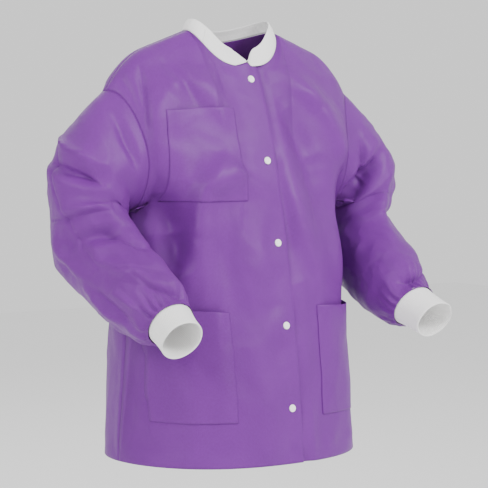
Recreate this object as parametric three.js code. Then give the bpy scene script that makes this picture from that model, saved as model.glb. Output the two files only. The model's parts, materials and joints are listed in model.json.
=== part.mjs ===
// Snap-front lab jacket in nonwoven cloth, worn shape, in millimetres.
// +Z is up, the fronts face -Y and the wearer's right side is -X. The origin is the centre of the neck opening.
// Every cloth piece is a thin closed shell whose outer face lies on the jacket's surface.
import * as THREE from 'three';

// Driving dimensions.
const CLOTH = 1.5;                // thickness of a cloth shell
const KNIT = 2.4;                 // thickness of a knit band
const SEAM = 0.6;                 // gap left between two pieces that are sewn together
const FOLD_GAP = 0.45 * CLOTH;    // gap left along a fold line, so the thick edges stay clear
const NECK_HALF_WIDTH = 88;
const NECK_DROP = 60;             // how far the front neck edge dips below the side neck point
const NECK_POWER = 3.2;           // roundness of the front neck edge
const BACK_NECK_DROP = 18;
const SHOULDER_SLOPE = 0.36;
const SHOULDER_TIP = 246;         // half-width at the dropped sleeve seam
const SHOULDER_START = 170;       // half-width at which the shoulder starts to round over
const SHOULDER_ROUND = 45;        // how far the tip sinks below the straight shoulder slope
const ARMPIT_HALF_WIDTH = 212;
const ARMPIT_Z = -300;
const FLARE = { width: 45, height: 110 };     // how the body widens above the armpit
const ARMHOLE_SCOOP = 22;         // how far the armhole curves in from a straight line
const HEM_Z = -710;
const HEM_HALF_WIDTH = 222;
const WAIST_HALF_WIDTH = 206;
const WAIST_Z = -470;
const SEAM_Y = 5;                 // plane of the side and shoulder seams
const NECK_DEPTH = { front: 68, back: 96 };
const HEM_DEPTH = { front: 187, back: 168 };
const FULLNESS = { front: 75, back: 60 };   // how early the depth is gained below the neck
const PLAN_POWER = 2.4;           // roundness of a level section: 2 is an ellipse, more is boxier
const CAP_POWER = 2.2;            // roundness of the top from the chest up to the shoulder
const CHEST_Z = -210;             // height at which the surface starts to curve in to the shoulder
const LAP = 18;                   // the upper front's edge beyond the centre line
const UNDERLAP = 16;              // the lower front's edge beyond the centre line
const LAP_GAP = 5.5;              // outer face to outer face where the fronts lap
const FOLD = { top: 50, hem: 60 };          // half-width of the line along which a front folds open
const COLLAR = { height: 27, back: 18, lean: 14, end: 1.5, endHeight: 0.3, taper: 26, rows: 3, gap: 3.2 };
const CUFF = { length: 52, top: 38.5, mouth: 35.5, tuck: 4, play: 1 };
const ARMHOLE_GAP = 1.3;            // between a sleeve's first ring and the panels' armhole edge
const TURNS = 24;                 // columns round a sleeve or a cuff
const CROWD = 1.25;               // crowds a panel's rows toward its curved top
const SNAP = {
  count: 5, first: -82, pitch: 134.5, cap: 6.3, capHeight: 2.4, disc: 5, clearance: 0.4,
  socketHeight: 1.4, well: 2.7, wellDepth: 1.0, nub: 2, flange: 0.9,
};
const PATCH = { lift: 15, edge: 13, clearance: 1.8 };
const CHEST_POCKET = { inner: 54, outer: 178, top: -132, bottom: -282 };
const RIGHT_HIP_POCKET = { inner: 97, outer: 205, top: -458, bottom: -640 };
const LEFT_HIP_POCKET = { inner: 70, outer: 205, top: -458, bottom: -640 };
const LABEL = { halfWidth: 10, top: -20, bottom: -46, thickness: 0.8, clearance: 2.5 };
const STEP_IN = 26;               // the lower front lies fully behind the upper one inside this x
const STEP_OUT = 46;              // and back on the jacket's surface outside this one

const clamp = (v, low, high) => Math.min(Math.max(v, low), high);
const smooth = (t) => { const s = clamp(t, 0, 1); return s * s * (3 - 2 * s); };
const mix = (a, b, t) => a + (b - a) * t;

// The jacket's surface: y as a function of x and z on the front (side = -1) or the back (side = 1).

function ridgeHeight(x) {
  const rounding = clamp((Math.abs(x) - SHOULDER_START) / (SHOULDER_TIP - SHOULDER_START), 0, 1.3);
  return -SHOULDER_SLOPE * (Math.abs(x) - NECK_HALF_WIDTH) - SHOULDER_ROUND * rounding ** CAP_POWER;
}

function halfWidth(z) {
  if (z > ARMPIT_Z) return ARMPIT_HALF_WIDTH + FLARE.width * smooth((z - ARMPIT_Z) / FLARE.height);
  if (z > WAIST_Z) return mix(WAIST_HALF_WIDTH, ARMPIT_HALF_WIDTH, smooth((z - WAIST_Z) / (ARMPIT_Z - WAIST_Z)));
  return mix(HEM_HALF_WIDTH, WAIST_HALF_WIDTH, smooth((z - HEM_Z) / (WAIST_Z - HEM_Z)));
}

function depth(side, z) {
  const face = side < 0 ? 'front' : 'back';
  const t = clamp((z + NECK_DROP) / (HEM_Z + NECK_DROP), 0, 1);
  return mix(NECK_DEPTH[face], HEM_DEPTH[face], t) + FULLNESS[face] * t * (1 - t);
}

function surfaceY(side, x, z) {
  const plan = Math.sqrt(1 - Math.min(Math.abs(x) / halfWidth(z), 1) ** PLAN_POWER);
  const rise = clamp((z - CHEST_Z) / (ridgeHeight(x) - CHEST_Z), 0, 1);
  const cap = Math.sqrt(1 - rise ** CAP_POWER);
  return SEAM_Y + side * (SEAM / 2 + depth(side, z) * plan * cap);
}

const onSurface = (side, x, z) => new THREE.Vector3(x, surfaceY(side, x, z), z);

function outward(side, x, z) {
  const step = 0.5;
  const across = onSurface(side, x + step, z).sub(onSurface(side, x - step, z));
  const down = onSurface(side, x, z + step).sub(onSurface(side, x, z - step));
  const normal = across.cross(down).normalize();
  return normal.y * side < 0 ? normal.negate() : normal;
}

// Outlines of the pattern pieces in the x, z plane, on the +X half.

const neckZ = (x) => -NECK_DROP * (1 - Math.abs(x / NECK_HALF_WIDTH) ** NECK_POWER);
const backNeckZ = (x) => -BACK_NECK_DROP * (1 - (x / NECK_HALF_WIDTH) ** 2);
const foldX = (z) => mix(FOLD.top, FOLD.hem, clamp(z / HEM_Z, 0, 1));

function armhole(s) {
  const z = mix(ridgeHeight(SHOULDER_TIP), ARMPIT_Z, (1 - Math.cos(Math.PI * s)) / 2);
  return [mix(SHOULDER_TIP, ARMPIT_HALF_WIDTH, s) - ARMHOLE_SCOOP * Math.sin(Math.PI * s), z];
}

function sideEdge(v) {
  const armpitAt = 0.4;
  if (v <= armpitAt) return armhole(v / armpitAt);
  const z = mix(ARMPIT_Z, HEM_Z, (v - armpitAt) / (1 - armpitAt));
  return [halfWidth(z), z];
}

function topEdge(u, startX, neck) {
  const neckEnds = 0.34;
  if (u >= neckEnds) {
    const x = mix(NECK_HALF_WIDTH, SHOULDER_TIP, (u - neckEnds) / (1 - neckEnds));
    return [x, ridgeHeight(x)];
  }
  const startAngle = Math.asin(startX / NECK_HALF_WIDTH);
  const x = NECK_HALF_WIDTH * Math.sin(mix(startAngle, Math.PI / 2, u / neckEnds));
  return [x, neck(x)];
}

function hemEdge(u, startX) {
  const angle = mix(Math.asin(startX / HEM_HALF_WIDTH), Math.PI / 2, u);
  return [HEM_HALF_WIDTH * Math.sin(angle), HEM_Z];
}

// Fills the outline between an inner edge and the side seam: the four edges blended across both ways.
function fill(u, v, inner, startTop, startHem, neck) {
  const top = topEdge(u, startTop, neck);
  const hem = hemEdge(u, startHem);
  const left = inner(v);
  const right = sideEdge(v);
  const corners = [topEdge(0, startTop, neck), topEdge(1, startTop, neck), hemEdge(0, startHem), hemEdge(1, startHem)];
  return [0, 1].map((k) => mix(top[k], hem[k], v) + mix(left[k], right[k], u)
    - mix(mix(corners[0][k], corners[1][k], u), mix(corners[2][k], corners[3][k], u), v));
}

// Grids and the closed shells made from them.

function grid(columns, rows, point) {
  return Array.from({ length: rows + 1 }, (_, j) =>
    Array.from({ length: columns + 1 }, (_, i) => point(i / columns, j / rows)));
}

function gridNormals(points, ring) {
  const rows = points.length;
  const columns = points[0].length;
  const at = (i, j) => {
    const column = ring ? (i + columns) % columns : clamp(i, 0, columns - 1);
    return points[clamp(j, 0, rows - 1)][column];
  };
  return points.map((row, j) => row.map((_, i) =>
    at(i, j + 1).clone().sub(at(i, j - 1)).cross(at(i + 1, j).clone().sub(at(i - 1, j))).normalize()));
}

// Rows run down and columns so that down x across points outward; the shell is that thick inward.
// A piece sewn at the side seams gives its side, so that its inner face stays on its own side of them.
function shell(points, thickness, { ring = false, side = 0 } = {}) {
  const rows = points.length;
  const columns = points[0].length;
  const normals = gridNormals(points, ring);
  const positions = [];
  for (const inward of [0, thickness]) {
    points.forEach((row, j) => row.forEach((p, i) => {
      const q = p.clone().addScaledVector(normals[j][i], -inward);
      if (side) q.y = side * Math.max(side * q.y, side * SEAM_Y + SEAM / 2);
      positions.push(q.x, q.y, q.z);
    }));
  }
  const index = [];
  const inner = rows * columns;
  const id = (i, j) => j * columns + (i % columns);
  const quad = (a, b, c, d) => index.push(a, b, c, a, c, d);
  const rim = (a, b) => quad(a, b, inner + b, inner + a);
  const spans = ring ? columns : columns - 1;
  for (let j = 0; j < rows - 1; j += 1) {
    for (let i = 0; i < spans; i += 1) {
      const [a, b, c, d] = [id(i, j), id(i + 1, j), id(i + 1, j + 1), id(i, j + 1)];
      quad(a, d, c, b);
      quad(inner + a, inner + b, inner + c, inner + d);
    }
  }
  for (let i = 0; i < spans; i += 1) {
    rim(id(i, 0), id(i + 1, 0));
    rim(id(i + 1, rows - 1), id(i, rows - 1));
  }
  if (!ring) {
    for (let j = 0; j < rows - 1; j += 1) {
      rim(id(0, j + 1), id(0, j));
      rim(id(columns - 1, j), id(columns - 1, j + 1));
    }
  }
  const geometry = new THREE.BufferGeometry();
  geometry.setAttribute('position', new THREE.Float32BufferAttribute(positions, 3));
  geometry.setIndex(index);
  geometry.computeVertexNormals();
  return geometry;
}

// A grid moved to the other side of x = 0, its columns reversed so that it still faces outward.
const mirrored = (points) =>
  points.map((row) => row.map((p) => new THREE.Vector3(-p.x, p.y, p.z)).reverse());

// Materials.
const cloth = new THREE.MeshStandardMaterial({ color: 0x9866ad, roughness: 0.62, metalness: 0 });
const knit = new THREE.MeshStandardMaterial({ color: 0xf2f1ee, roughness: 0.9, metalness: 0 });
const plastic = new THREE.MeshStandardMaterial({ color: 0xf6f6f4, roughness: 0.3, metalness: 0 });
const tape = new THREE.MeshStandardMaterial({ color: 0xe4e4e2, roughness: 0.75, metalness: 0 });

const group = new THREE.Group();

function add(name, geometry, material) {
  const mesh = new THREE.Mesh(geometry, material);
  mesh.name = name;
  group.add(mesh);
  return mesh;
}

// One piece for each side of the wearer, made on the +X side.
function addPair(name, points, thickness, material, options) {
  add(`left_${name}`, shell(points, thickness, options), material);
  add(`right_${name}`, shell(mirrored(points), thickness, options), material);
}

// Back and front panels.

function backPanel() {
  const centre = (v) => [0, mix(backNeckZ(0), HEM_Z, v)];
  const points = grid(16, 15, (u, v) => {
    const [x, z] = fill(Math.abs(1 - 2 * u), v ** CROWD, centre, 0, 0, backNeckZ);
    return onSurface(1, u < 0.5 ? x : -x, z);
  });
  add('back_panel', shell(points, CLOTH, { side: 1 }), cloth);
}

// Where the fold line, moved sideways by offset, meets the neck edge.
function foldTop(offset) {
  let x = FOLD.top + offset;
  for (let i = 0; i < 8; i += 1) x = foldX(neckZ(x)) + offset;
  return x;
}

function sideFronts() {
  const start = foldTop(FOLD_GAP / 2);
  const inner = (v) => {
    const z = mix(neckZ(start), HEM_Z, v);
    return [foldX(z) + FOLD_GAP / 2, z];
  };
  const points = grid(8, 15, (u, v) => {
    const [x, z] = fill(u, v ** CROWD, inner, start, FOLD.hem + FOLD_GAP / 2, neckZ);
    return onSurface(-1, x, z);
  });
  addPair('side_front', points, CLOTH, cloth, { side: -1 });
}

// The strip between a front's lap edge and its fold line, on the +X side; step moves its edge inward.
function frontBand(lap, step) {
  const end = foldTop(-FOLD_GAP / 2);
  return grid(5, 16, (u, v) => {
    const z = mix(neckZ(mix(-lap, end, u)), HEM_Z, v ** CROWD);
    const x = mix(-lap, foldX(z) - FOLD_GAP / 2, u);
    const point = onSurface(-1, x, z);
    point.y += step * smooth((STEP_OUT - x) / (STEP_OUT - STEP_IN));
    return point;
  });
}

function frontBands() {
  add('left_front_band', shell(frontBand(UNDERLAP, LAP_GAP), CLOTH), cloth);
  add('right_front_band', shell(mirrored(frontBand(LAP, 0)), CLOTH), cloth);
}

// Knit collar: one band round the neck, parted where the fronts fold open.

function neckPoint(angle) {
  const front = Math.cos(angle) > 0;
  const x = NECK_HALF_WIDTH * Math.sin(angle);
  const z = front ? neckZ(x) : backNeckZ(x);
  return onSurface(front ? -1 : 1, x, z);
}

// The collar is tall at the front, low at the sides and back, and tapers to its two ends.
function collarHeight(angle) {
  const turn = Math.acos(Math.cos(angle));
  const full = mix(COLLAR.height, COLLAR.back, smooth((turn - Math.PI / 4) / (Math.PI / 4)));
  const across = NECK_HALF_WIDTH * Math.sin(turn);
  return turn < Math.PI / 2 ? full * mix(COLLAR.endHeight, 1, smooth(across / COLLAR.taper)) : full;
}

function collarGrid(from, to, columns) {
  return grid(columns, COLLAR.rows, (u, v) => {
    const angle = mix(from, to, u);
    const base = neckPoint(angle);
    const inward = new THREE.Vector3(-base.x, SEAM_Y - base.y, 0).normalize();
    const height = collarHeight(angle);
    const rise = height * (1 - v);
    const lean = COLLAR.lean * (height / COLLAR.height) * (1 - v);
    return base.addScaledVector(inward, lean).add(new THREE.Vector3(0, 0, COLLAR.gap + rise));
  });
}

function collar() {
  const parting = (offset) => Math.asin(foldTop(offset) / NECK_HALF_WIDTH);
  const end = Math.asin(COLLAR.end / NECK_HALF_WIDTH);
  addPair('collar_end', collarGrid(end, parting(-SEAM / 2), 6), KNIT, knit);
  add('collar_back', shell(collarGrid(parting(SEAM / 2), 2 * Math.PI - parting(SEAM / 2), 24), KNIT), knit);
}

// Sleeves and cuffs, made on the +X side. A ring is an ellipse with a centre, the direction of its
// outer point, the direction of its front point and the two half-sizes.
const ACROSS = [1, 0, 0];
const FOREARM_UP = [0, -0.51, 0.86];
const RINGS = [
  { at: [260, 3, -224], out: [0.47, 0, 0.88], front: [0, -1, 0], half: [82, 68] },
  { at: [280, 4, -261], out: [0.82, 0, 0.57], front: [0, -1, 0], half: [76, 72] },
  { at: [277, 10, -303], out: [1, 0, 0.09], front: [0, -0.95, 0.31], half: [59, 76] },
  { at: [275, -2, -347], out: ACROSS, front: [0, -0.8, 0.6], half: [57, 87] },
  { at: [266, -45, -383], out: ACROSS, front: FOREARM_UP, half: [57, 77] },
  { at: [258, -105, -419], out: ACROSS, front: FOREARM_UP, half: [56, 72] },
  { at: [252, -155, -448], out: ACROSS, front: FOREARM_UP, half: [CUFF.top + 12.5, CUFF.top + 21.5] },
  { at: [249.5, -178, -461.5], out: ACROSS, front: FOREARM_UP, half: [CUFF.top + 6.5, CUFF.top + 8.5] },
];
const ELBOW = 4;                  // the ring at which a sleeve is parted into two rigid pieces
const ELBOW_GAP = 0.05;           // gap left there, as a share of the way to the next ring
const WRIST = new THREE.Vector3(248.6, -190, -465);
const ARM_END = new THREE.Vector3(257.2, -232.5, -484.6);
const forearm = ARM_END.clone().sub(WRIST).normalize();

function ringPoint(centre, out, front, half, angle) {
  return new THREE.Vector3(...centre)
    .addScaledVector(new THREE.Vector3(...out), half[0] * Math.cos(angle))
    .addScaledVector(new THREE.Vector3(...front), -half[1] * Math.sin(angle));
}

// The armhole edge from its top round the back, the armpit and the front.
function armholePoint(turn) {
  const back = turn < 0.5;
  const [x, z] = armhole(back ? turn * 2 : 2 - turn * 2);
  return onSurface(back ? 1 : -1, x, z).add(new THREE.Vector3(ARMHOLE_GAP, 0, 0));
}

function wristRing(along, radius, turn) {
  const centre = WRIST.clone().addScaledVector(forearm, along).toArray();
  return ringPoint(centre, ACROSS, FOREARM_UP, [radius, radius], turn * 2 * Math.PI);
}

function sleeves() {
  const turns = Array.from({ length: TURNS }, (_, i) => i / TURNS);
  const rings = RINGS.map((r) => turns.map((t) => ringPoint(r.at, r.out, r.front, r.half, t * 2 * Math.PI)));
  const last = turns.map((t) => wristRing(0, CUFF.top + CUFF.play + CLOTH, t));
  const all = [turns.map(armholePoint), ...rings, last];
  const below = all[ELBOW].map((p, i) => p.clone().lerp(all[ELBOW + 1][i], ELBOW_GAP));
  addPair('upper_sleeve', all.slice(0, ELBOW + 1), CLOTH, cloth, { ring: true });
  addPair('lower_sleeve', [below, ...all.slice(ELBOW + 1)], CLOTH, cloth, { ring: true });
}

function cuffs() {
  const turns = Array.from({ length: TURNS }, (_, i) => i / TURNS);
  const points = [0, 0.5, 1].map((v) => turns.map((t) =>
    wristRing(v * CUFF.length - CUFF.tuck, mix(CUFF.top, CUFF.mouth, v), t)));
  addPair('cuff', points, KNIT, knit, { ring: true });
}

// Patch pockets, open at the top: a sheet that stands off the front except at its sewn edges.

function pocketGrid({ inner, outer, top, bottom }) {
  return grid(12, 10, (u, v) => {
    const z = mix(top, bottom, v);
    const x = mix(inner, outer, u);
    const fromEdge = Math.min(x - inner, outer - x, z - bottom);
    const stand = PATCH.clearance + CLOTH + PATCH.lift * smooth(fromEdge / PATCH.edge);
    return onSurface(-1, x, z).addScaledVector(outward(-1, x, z), stand);
  });
}

function pockets() {
  add('chest_pocket', shell(mirrored(pocketGrid(CHEST_POCKET)), CLOTH), cloth);
  add('right_hip_pocket', shell(mirrored(pocketGrid(RIGHT_HIP_POCKET)), CLOTH), cloth);
  add('left_hip_pocket', shell(pocketGrid(LEFT_HIP_POCKET), CLOTH), cloth);
}

// A tape label that hangs straight down inside the back neck, its flat face toward the neck opening.
function neckLabel() {
  const { halfWidth, top, bottom, thickness, clearance } = LABEL;
  const mesh = add('neck_label', new THREE.BoxGeometry(2 * halfWidth, thickness, top - bottom), tape);
  const inside = surfaceY(1, halfWidth, top) - CLOTH - clearance;
  mesh.position.set(0, inside - thickness / 2, (top + bottom) / 2);
}

// Snap fasteners. Heights are measured outward from the upper front's outer face, along its normal.

function turned(profile) {
  return new THREE.LatheGeometry(profile.map(([r, y]) => new THREE.Vector2(r, y)), 24);
}

const disc = (radius, low, high) => turned([[0, low], [radius, low], [radius, high], [0, high]]);

function snapCap() {
  const { cap, capHeight, clearance } = SNAP;
  const low = clearance;
  const high = clearance + capHeight;
  const rim = low + capHeight * 0.4;
  return turned([[0, low], [cap, low], [cap, rim], [cap * 0.8, high - 0.3], [cap * 0.4, high], [0, high]]);
}

const SOCKET_TOP = -CLOTH - SNAP.clearance;
const SOCKET_FLOOR = SOCKET_TOP - SNAP.socketHeight;
const STUD_FOOT = -LAP_GAP + SNAP.clearance;
const STUD_FLANGE = STUD_FOOT + SNAP.flange;

function snapSocket() {
  const well = SOCKET_FLOOR + SNAP.wellDepth;
  return turned([[0, well], [SNAP.well, well], [SNAP.well, SOCKET_FLOOR], [SNAP.disc, SOCKET_FLOOR],
    [SNAP.disc, SOCKET_TOP], [0, SOCKET_TOP]]);
}

function snapStud() {
  const nubTop = SOCKET_FLOOR + SNAP.wellDepth - SNAP.clearance;
  return turned([[0, STUD_FOOT], [SNAP.disc, STUD_FOOT], [SNAP.disc, STUD_FLANGE], [SNAP.nub, STUD_FLANGE],
    [SNAP.nub, nubTop], [0, nubTop]]);
}

function snapBack() {
  const high = -LAP_GAP - CLOTH - SNAP.clearance;
  return disc(SNAP.disc, high - SNAP.flange, high);
}

function snaps() {
  const parts = { snap_cap: snapCap(), snap_socket: snapSocket(), snap_stud: snapStud(), snap_back: snapBack() };
  for (let i = 0; i < SNAP.count; i += 1) {
    const z = SNAP.first - SNAP.pitch * i;
    for (const [name, geometry] of Object.entries(parts)) {
      const mesh = add(`${name}_${i + 1}`, geometry, plastic);
      mesh.position.copy(onSurface(-1, 0, z));
      mesh.quaternion.setFromUnitVectors(new THREE.Vector3(0, 1, 0), outward(-1, 0, z));
    }
  }
}

backPanel();
sideFronts();
frontBands();
collar();
sleeves();
cuffs();
pockets();
neckLabel();
snaps();

export default group;
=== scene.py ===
"""Snap-front lab jacket in nonwoven cloth with rib-knit collar and cuffs, as worn."""
import json
import math

import bpy
import numpy as np
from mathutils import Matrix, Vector, noise
from mathutils.bvhtree import BVHTree

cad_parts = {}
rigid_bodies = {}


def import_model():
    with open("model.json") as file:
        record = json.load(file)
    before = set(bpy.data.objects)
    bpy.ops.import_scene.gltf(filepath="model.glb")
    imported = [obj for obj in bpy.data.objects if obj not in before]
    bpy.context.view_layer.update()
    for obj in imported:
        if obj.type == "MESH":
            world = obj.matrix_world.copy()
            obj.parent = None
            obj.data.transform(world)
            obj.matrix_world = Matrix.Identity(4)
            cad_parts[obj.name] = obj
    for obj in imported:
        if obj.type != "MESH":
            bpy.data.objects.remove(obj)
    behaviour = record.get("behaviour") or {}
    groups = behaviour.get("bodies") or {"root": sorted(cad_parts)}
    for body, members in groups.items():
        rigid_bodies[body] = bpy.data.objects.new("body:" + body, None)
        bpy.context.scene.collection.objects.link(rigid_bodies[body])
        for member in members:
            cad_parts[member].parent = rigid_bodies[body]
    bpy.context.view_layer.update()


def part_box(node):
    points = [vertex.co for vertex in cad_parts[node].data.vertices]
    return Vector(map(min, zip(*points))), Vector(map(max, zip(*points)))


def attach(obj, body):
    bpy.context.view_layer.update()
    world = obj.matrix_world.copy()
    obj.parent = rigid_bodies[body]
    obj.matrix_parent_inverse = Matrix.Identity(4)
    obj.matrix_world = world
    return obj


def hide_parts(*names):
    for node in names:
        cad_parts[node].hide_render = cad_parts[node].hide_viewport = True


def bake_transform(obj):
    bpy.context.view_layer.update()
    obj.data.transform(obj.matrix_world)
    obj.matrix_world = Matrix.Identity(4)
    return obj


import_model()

bl_info = {
    "name": "Lab Jacket",
    "version": (1, 0, 0),
    "blender": (4, 5, 0),
    "location": "View3D > Sidebar > Lab Jacket",
    "description": "Builds the cloth, knit and snaps of a lab jacket on its packed frame",
    "category": "Object",
}

# ---------------------------------------------------------------------------
# Measures of the jacket, in metres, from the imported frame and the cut
# ---------------------------------------------------------------------------

BACK_LOW, BACK_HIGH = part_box("back_panel")
LABEL_LOW, LABEL_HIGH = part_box("neck_label")

HEM_Z = BACK_LOW[2]
SHOULDER_TIP = BACK_HIGH[0]
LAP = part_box("right_front_band")[1][0]
UNDERLAP = -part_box("left_front_band")[0][0]
SEAM_Y = 0.005
NECK_HALF_WIDTH = 0.088
NECK_DROP = 0.060
NECK_POWER = 3.2
BACK_NECK_DROP = 0.018
SHOULDER_SLOPE = 0.36
SHOULDER_ROUND = 0.045
SHOULDER_START = 0.170          # half-width at which the shoulder starts to round over
ARMPIT_HALF_WIDTH = 0.212
ARMPIT_Z = -0.300
ARMPIT_FLARE, FLARE_HEIGHT = 0.045, 0.110        # how far the side widens above the armpit, and how high up
ARMHOLE_SCOOP = 0.022
CHEST_Z = -0.210                # below this the surface no longer rounds over to the shoulder
PLAN_POWER, CAP_POWER = 2.4, 2.2                 # roundness of the body in plan, and of its top
SHOULDER_LIMIT = 1.3            # the rounding stops growing this far past the shoulder tip
WAIST_HALF_WIDTH = 0.206
WAIST_Z = -0.470
HEM_HALF_WIDTH = 0.222
NECK_DEPTH = {-1: 0.068, 1: 0.096}
HEM_DEPTH = {-1: 0.187, 1: 0.168}
FULLNESS = {-1: 0.075, 1: 0.060}
SIDE_GAP = 0.0003
LAP_STEP = 0.0055               # how far the under front lies behind the upper one
STEP_IN, STEP_OUT = 0.026, 0.046
CLOTH = 0.0008
CHEST_POCKET = 0.052, 0.176, -0.132, -0.281      # inner and outer edge, top and bottom
RIGHT_HIP_POCKET = 0.098, 0.203, -0.459, -0.638
LEFT_HIP_POCKET = 0.071, 0.203, -0.459, -0.638
POCKET_CLOTH = 0.0006
KNIT, TAPE = 0.0009, 0.0005     # thickness of one layer of knit, and of the label
FACING = 0.045                  # the strip turned under along each front edge


def clamp(value, low, high):
    return min(max(value, low), high)


def mix(a, b, t):
    return a + (b - a) * t


def smooth(t):
    s = clamp(t, 0.0, 1.0)
    return s * s * (3 - 2 * s)


# ---------------------------------------------------------------------------
# The worn surface: y of the front (side -1) or the back (side 1) at x and z
# ---------------------------------------------------------------------------

def ridge_height(x):
    """Height of the shoulder line."""
    rounding = clamp((abs(x) - SHOULDER_START) / (SHOULDER_TIP - SHOULDER_START), 0, SHOULDER_LIMIT)
    return -SHOULDER_SLOPE * (abs(x) - NECK_HALF_WIDTH) - SHOULDER_ROUND * rounding ** CAP_POWER


def half_width(z):
    """Half the body's width at a height."""
    if z > ARMPIT_Z:
        return ARMPIT_HALF_WIDTH + ARMPIT_FLARE * smooth((z - ARMPIT_Z) / FLARE_HEIGHT)
    if z > WAIST_Z:
        return mix(WAIST_HALF_WIDTH, ARMPIT_HALF_WIDTH, smooth((z - WAIST_Z) / (ARMPIT_Z - WAIST_Z)))
    return mix(HEM_HALF_WIDTH, WAIST_HALF_WIDTH, smooth((z - HEM_Z) / (WAIST_Z - HEM_Z)))


def surface_depth(side, z):
    """How far the front or back stands out from the side seams' plane."""
    t = clamp((z + NECK_DROP) / (HEM_Z + NECK_DROP), 0, 1)
    return mix(NECK_DEPTH[side], HEM_DEPTH[side], t) + FULLNESS[side] * t * (1 - t)


def surface_y(side, x, z):
    """y of the worn surface."""
    plan = math.sqrt(1 - min(abs(x) / half_width(z), 1) ** PLAN_POWER)
    rise = clamp((z - CHEST_Z) / (ridge_height(x) - CHEST_Z), 0, 1)
    cap = math.sqrt(max(1 - rise ** CAP_POWER, 0))
    return SEAM_Y + side * (SIDE_GAP + surface_depth(side, z) * plan * cap)


def on_surface(side, x, z):
    return Vector((x, surface_y(side, x, z), z))


# Outlines of the pattern pieces in the x, z plane, on the +X half.

def neck_z(x):
    return -NECK_DROP * (1 - abs(x / NECK_HALF_WIDTH) ** NECK_POWER)


NOTCH_RISE = 0.007              # how far the cloth stands up between the collar's two ends
NOTCH = {-1: 0.024, 1: 0.008}   # half-width of that notch on each front


def notch_rise(x):
    return NOTCH_RISE * max(1 - abs(x) / NOTCH[1 if x > 0 else -1], 0)


def back_neck_z(x):
    return -BACK_NECK_DROP * (1 - (x / NECK_HALF_WIDTH) ** 2)


def armhole(s):
    """x and z along the armhole, from the shoulder tip at 0 to the armpit at 1."""
    z = mix(ridge_height(SHOULDER_TIP), ARMPIT_Z, (1 - math.cos(math.pi * s)) / 2)
    return mix(SHOULDER_TIP, ARMPIT_HALF_WIDTH, s) - ARMHOLE_SCOOP * math.sin(math.pi * s), z


ARMPIT_AT = 0.4                 # where the armpit lies along a panel's side edge
NECK_ENDS = 0.34                # where the neck edge ends along a panel's top edge


def side_edge(v):
    if v <= ARMPIT_AT:
        return armhole(v / ARMPIT_AT)
    z = mix(ARMPIT_Z, HEM_Z, (v - ARMPIT_AT) / (1 - ARMPIT_AT))
    return half_width(z), z


def top_edge(u, start, neck):
    if u >= NECK_ENDS:
        x = mix(NECK_HALF_WIDTH, SHOULDER_TIP, (u - NECK_ENDS) / (1 - NECK_ENDS))
        return x, ridge_height(x)
    x = NECK_HALF_WIDTH * math.sin(mix(math.asin(start / NECK_HALF_WIDTH), math.pi / 2, u / NECK_ENDS))
    return x, neck(x)


def hem_edge(u, start):
    angle = mix(math.asin(start / HEM_HALF_WIDTH), math.pi / 2, u)
    return HEM_HALF_WIDTH * math.sin(angle), HEM_Z


def fill_outline(u, v, start, neck):
    """x and z inside a panel's outline: its four edges blended across both ways."""
    top, hem = top_edge(u, start, neck), hem_edge(u, start)
    inner, outer = (start, mix(neck(start), HEM_Z, v)), side_edge(v)
    corner = top_edge(0, start, neck), top_edge(1, start, neck), hem_edge(0, start), hem_edge(1, start)
    return [mix(top[k], hem[k], v) + mix(inner[k], outer[k], u)
            - mix(mix(corner[0][k], corner[1][k], u), mix(corner[2][k], corner[3][k], u), v)
            for k in (0, 1)]


# ---------------------------------------------------------------------------
# Folds: strokes pressed into or raised from a surface
# ---------------------------------------------------------------------------

class Fold:
    """A crease between two points of a flat map in metres. A positive height stands out of the cloth."""

    def __init__(self, x0, z0, x1, z1, width, height, sharp=False, lean=0.0):
        self.start = np.array((x0, z0)) / 1000
        self.along = np.array((x1 - x0, z1 - z0)) / 1000
        self.length = max(float(np.hypot(*self.along)), 1e-6)
        self.width, self.height, self.sharp, self.lean = width / 1000, height / 1000, sharp, lean

    def lift(self, x, z):
        """How far the cloth is lifted at arrays of map points."""
        dx, dz = x - self.start[0], z - self.start[1]
        along = (dx * self.along[0] + dz * self.along[1]) / self.length ** 2
        across = (dx * self.along[1] - dz * self.along[0]) / self.length
        beyond = np.maximum(np.maximum(-along, along - 1), 0) * self.length
        width = self.width * np.where(across > 0, 1 + self.lean, 1 - self.lean)
        reach = np.abs(across) / width
        profile = np.exp(-reach * 1.4) if self.sharp else np.exp(-reach ** 2)
        fade = np.clip(along, 0, 1)
        taper = 0.55 + 0.45 * np.sin(math.pi * fade)
        return self.height * profile * taper * np.exp(-(beyond / (self.width * 1.6)) ** 2)


def crumple(points, seed, scale, height):
    """Broad uneven swells crossed by crisp creases, as in stiff light cloth."""
    out = np.zeros(len(points))
    shift = Vector((seed * 3.1, seed * 1.7, seed * 5.3))
    other = Vector((7.3, 3.1, 1.9))
    for i, p in enumerate(points):
        q = Vector(p) * scale + shift
        crease = 0.22 - abs(noise.noise(q * 1.3 + other))
        out[i] = 0.8 * noise.noise(q) + 0.9 * crease
    return out * height


# ---------------------------------------------------------------------------
# Grids and meshes
# ---------------------------------------------------------------------------

def grid_normals(points, ring):
    """Outward normals of a grid whose rows run down and columns so that down x across points out."""
    if ring:
        across = np.roll(points, -1, 1) - np.roll(points, 1, 1)
    else:
        across = np.gradient(points, axis=1)
    down = np.gradient(points, axis=0)
    normal = np.cross(down, across)
    length = np.linalg.norm(normal, axis=2, keepdims=True)
    return normal / np.maximum(length, 1e-12)


def grid_uv(points):
    """Distances across and down the cloth, in metres."""
    across = np.linalg.norm(np.diff(points, axis=1), axis=2)
    down = np.linalg.norm(np.diff(points, axis=0), axis=2)
    u = np.concatenate([np.zeros((len(points), 1)), np.cumsum(across, 1)], 1)
    v = np.concatenate([np.zeros((1, points.shape[1])), np.cumsum(down, 0)], 0)
    middle = u[:, points.shape[1] // 2][:, None]
    return np.stack([u - middle, -v], 2)


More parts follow.
